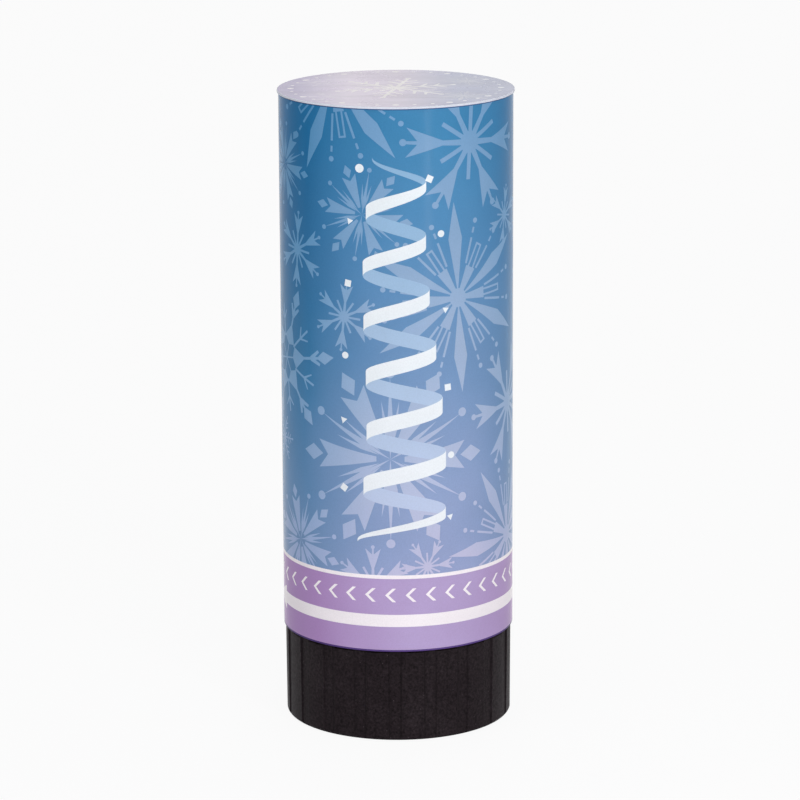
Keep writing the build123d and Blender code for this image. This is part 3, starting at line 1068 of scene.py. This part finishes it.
def make_latch_head(finish):
    """Flat button whose upper edge is rounded."""
    low, high = fork_high.z - HEAD_THICKNESS, fork_high.z
    profile = [(0.0, low), (HEAD_RADIUS, low), (HEAD_RADIUS, high - HEAD_ROUND)]
    for k in range(1, CORNER_STEPS + 1):
        angle = RIGHT_ANGLE * k / CORNER_STEPS
        radius = HEAD_RADIUS - HEAD_ROUND * (1 - math.cos(angle))
        profile.append((radius, high - HEAD_ROUND * (1 - math.sin(angle))))
    profile.append((0.0, high))
    points, faces, rows = [], [], []
    for radius, height in profile:
        first = len(points)
        ring = round_row(radius, HEAD_SIDES) if radius else [(0.0, 0.0)]
        points += [(x, y, height) for x, y in ring]
        rows.append(list(range(first, len(points))))
    for lower, upper in zip(rows, rows[1:]):
        for k in range(HEAD_SIDES):
            after = (k + 1) % HEAD_SIDES
            if len(lower) == 1:
                faces.append((lower[0], upper[after], upper[k]))
            elif len(upper) == 1:
                faces.append((lower[k], lower[after], upper[0]))
            else:
                faces.append((lower[k], lower[after], upper[after], upper[k]))
    head = piece("latch_head", points, faces, [finish])
    head.data.set_sharp_from_angle(angle=HEAD_SHARP)
    return head


def make_latch_legs(finish):
    """Two barbed legs with softened edges."""
    root = fork_high.z - HEAD_THICKNESS / 2
    outline = [
        (LEG_INNER, root),
        (LEG_INNER, fork_low.z),
        (LEG_INNER + (LEG_OUTER - LEG_INNER) * TIP_SHARE, fork_low.z),
        (LEG_OUTER + BARB_REACH, BARB_TOP - BARB_FACE),
        (LEG_OUTER + BARB_REACH, BARB_TOP),
        (LEG_OUTER, BARB_TOP),
        (LEG_OUTER, root),
    ]
    mesh = bmesh.new()
    for side in (1, -1):
        ring = [mesh.verts.new((side * x * MM, -LEG_WIDTH / 2 * MM, z * MM)) for x, z in outline]
        grown = bmesh.ops.extrude_face_region(mesh, geom=[mesh.faces.new(ring)])
        moved = [v for v in grown["geom"] if isinstance(v, bmesh.types.BMVert)]
        bmesh.ops.translate(mesh, vec=(0, LEG_WIDTH * MM, 0), verts=moved)
    bmesh.ops.recalc_face_normals(mesh, faces=mesh.faces)
    bmesh.ops.bevel(
        mesh,
        geom=list(mesh.edges),
        offset=LEG_BEVEL * MM,
        segments=BEVEL_STEPS,
        affect="EDGES",
        profile=0.5,
    )
    legs = piece("latch_legs", [], [], [finish])
    mesh.to_mesh(legs.data)
    mesh.free()
    smooth(legs.data)
    legs.data.set_sharp_from_angle(angle=LEG_SHARP)
    return legs


def make_fork():
    acetal = natural_plastic("acetal_latch", srgb(232, 226, 212), roughness=(0.22, 0.34), scatter=0.25)
    head = make_latch_head(acetal)
    legs = make_latch_legs(acetal)
    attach(head, "charge")
    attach(legs, "charge")
    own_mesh(legs)
    for made in (head, legs):
        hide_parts("latch_fork")


label = make_label()
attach(label, "barrel")
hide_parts("printed_label")

lid = make_lid()
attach(lid, "lid")
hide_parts("lid_label")

make_confetti()
make_spring()
make_fork()

# CAD nodes that keep their shape

TUBE_SEAM_PITCH = 42.0

grip_high = node_box("twist_base")[1]
tube_board = greyboard("grey_tube_board", srgb(186, 174, 156), TUBE_SEAM_PITCH)
flat_board = greyboard("grey_disc_board", srgb(190, 180, 164))
natural = natural_plastic("natural_insert_plastic", srgb(226, 225, 220), roughness=(0.34, 0.5), scatter=0.3)
for name, finish in (
    ("body_tube", tube_board),
    ("lid_card", flat_board),
    ("card_wad", flat_board),
    ("twist_base", black_plastic(grip_high.x, grip_high.z)),
    ("tube_insert", natural),
    ("plunger", natural),
):
    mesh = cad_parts[name].data
    mesh.materials.clear()
    mesh.materials.append(finish)

# Stage: pale floor, white background, soft lamps and the photograph's viewpoint

FLOOR_DROP, FLOOR_HALF = 0.1, 3000.0
FLOOR_GLOW = 0.92
AMBIENT = 0.4
WHITE_LIGHT = (1, 1, 1, 1)
LAMP_AIM = Vector((0, 0, 0.055))
# Soft boxes: name, azimuth and elevation in degrees, distance, width and height in metres, power in watts
LAMPS = [
    ("key_box", 20, 30, 1.2, 0.6, 0.8, 3.6),
    ("strip_box", 30, 14, 0.28, 0.02, 0.24, 0.155),
    ("fill_box", -40, 25, 1.5, 1.2, 1.2, 3.8),
    ("back_box", 170, 40, 1.5, 1.2, 1.2, 3.0),
    ("top_box", 10, 82, 1.2, 0.8, 0.8, 0.7),
]
# Lens in millimetres, place and clip distances in metres, and angles in radians
LENS, SENSOR = 176.143, 36.0
CLIP_NEAR, CLIP_FAR = 0.01, 50.0
CAMERA_PLACE = (0, -0.658828, 0.21458)
CAMERA_PITCH, CAMERA_YAW, CAMERA_ROLL = 0.237, 0.00072, -0.00475


def background_rays(tree):
    """1 for camera, glossy and transmission rays, which see the white background, and 0 for other light."""
    rays = tree.nodes.new("ShaderNodeLightPath")
    seen = rays.outputs["Is Camera Ray"]
    for kind in ("Is Glossy Ray", "Is Transmission Ray"):
        larger = tree.nodes.new("ShaderNodeMath")
        larger.operation = "MAXIMUM"
        tree.links.new(seen, larger.inputs[0])
        tree.links.new(rays.outputs[kind], larger.inputs[1])
        seen = larger.outputs[0]
    return seen


def make_floor():
    """Pale matt floor that glows nearly white to what looks at it and keeps a soft shadow."""
    finish = Finish("pale_floor", Roughness=0.7, Specular_IOR_Level=0.1)
    mottle = finish.noise(grain=40.0)
    finish.set("Base Color", finish.shade(srgb(232, 232, 234), mottle, low=0.985, high=1.01))
    glow = finish.node("ShaderNodeEmission", {"Color": WHITE_LIGHT, "Strength": 1.0})
    share = finish.math("MULTIPLY", background_rays(finish.tree), FLOOR_GLOW)
    both = finish.node("ShaderNodeMixShader", {0: share, 1: finish.shader.outputs[0], 2: glow.outputs[0]})
    output = next(n for n in finish.tree.nodes if n.type == "OUTPUT_MATERIAL")
    finish.tree.links.new(both.outputs[0], output.inputs["Surface"])
    ends = (-FLOOR_HALF, FLOOR_HALF)
    corners = [(x, y, -FLOOR_DROP) for y in ends for x in ends]
    piece("studio_floor", corners, [(0, 1, 3, 2)], [finish.material])


def make_world():
    """White background, with a dimmer soft light from all round on the object."""
    world = bpy.data.worlds.new("studio_world")
    bpy.context.scene.world = world
    world.use_nodes = True
    tree = world.node_tree
    white = tree.nodes["Background"]
    white.inputs["Color"].default_value = WHITE_LIGHT
    strength = tree.nodes.new("ShaderNodeMapRange")
    strength.inputs["To Min"].default_value = AMBIENT
    tree.links.new(background_rays(tree), strength.inputs["Value"])
    tree.links.new(strength.outputs[0], white.inputs["Strength"])


def make_lamp(name, azimuth, elevation, distance, width, height, power):
    """Soft box aimed at the popper's middle; azimuth 0 is the front and grows to its right."""
    light = bpy.data.lights.new(name, "AREA")
    light.shape = "RECTANGLE"
    light.size, light.size_y = width, height
    light.energy = power
    made = bpy.data.objects.new(name, light)
    a, e = math.radians(azimuth), math.radians(elevation)
    away = Vector((math.sin(a) * math.cos(e), -math.cos(a) * math.cos(e), math.sin(e)))
    made.location = LAMP_AIM + away * distance
    made.rotation_euler = away.to_track_quat("Z", "Y").to_euler()
    made.visible_camera = False
    bpy.context.scene.collection.objects.link(made)


def make_camera():
    """Long lens that looks along +Y and down at the popper."""
    lens = bpy.data.cameras.new("photo_lens")
    lens.sensor_width = SENSOR
    lens.lens = LENS
    lens.clip_start, lens.clip_end = CLIP_NEAR, CLIP_FAR
    camera = bpy.data.objects.new("photo_camera", lens)
    aim = Matrix.Rotation(-CAMERA_YAW, 4, "Z") @ Matrix.Rotation(RIGHT_ANGLE - CAMERA_PITCH, 4, "X")
    camera.matrix_world = Matrix.Translation(CAMERA_PLACE) @ aim @ Matrix.Rotation(CAMERA_ROLL, 4, "Z")
    bpy.context.scene.collection.objects.link(camera)
    bpy.context.scene.camera = camera


make_floor()
make_world()
for row in LAMPS:
    make_lamp(*row)
make_camera()
bpy.context.scene.view_settings.view_transform = "Standard"
